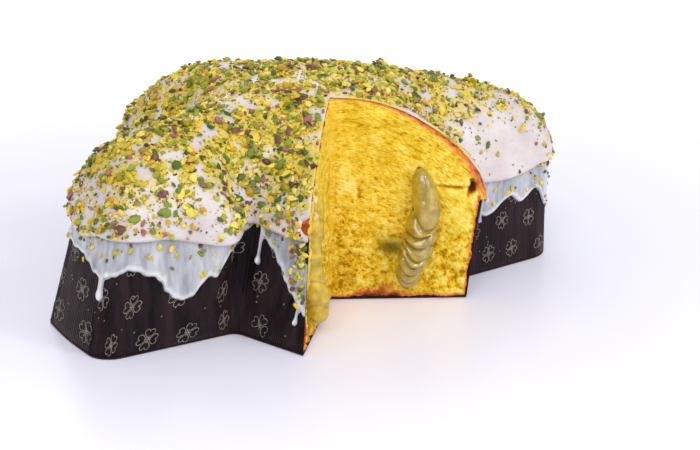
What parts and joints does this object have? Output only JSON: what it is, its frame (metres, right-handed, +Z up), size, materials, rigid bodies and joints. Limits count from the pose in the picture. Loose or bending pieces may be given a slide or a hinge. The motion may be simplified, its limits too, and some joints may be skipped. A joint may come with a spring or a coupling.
{
  "type": "dove-shaped easter bread",
  "caption": "Dove-shaped sweet loaf in a paper case, iced, scattered with chopped pistachio, with a wedge cut out that shows the crumb and piped cream.",
  "frame": {"origin": "middle of the object's box, on the surface that it stands on", "axes": "+X along the dove's body from the blunt tail lobe to the round head lobe, +Y towards the whole wing, +Z up; the wedge is missing from the wing at -Y"},
  "size_m": [0.277, 0.1871, 0.1116],
  "materials": {
    "crumb": "soft open bread crumb with a thin browned crust",
    "glaze": "satin sugar glaze with chopped pistachio",
    "case_paper": "dark ribbed baking paper with a slight sheen",
    "cream": "smooth glossy pistachio cream"
  },
  "bodies": {
    "root": {"crumb_loaf": "crumb", "sugar_glaze": "glaze", "case_wall": "case_paper", "case_base": "case_paper", "cream_rope_back": "cream", "cream_rope_left": "cream"}
  },
  "joints": []
}
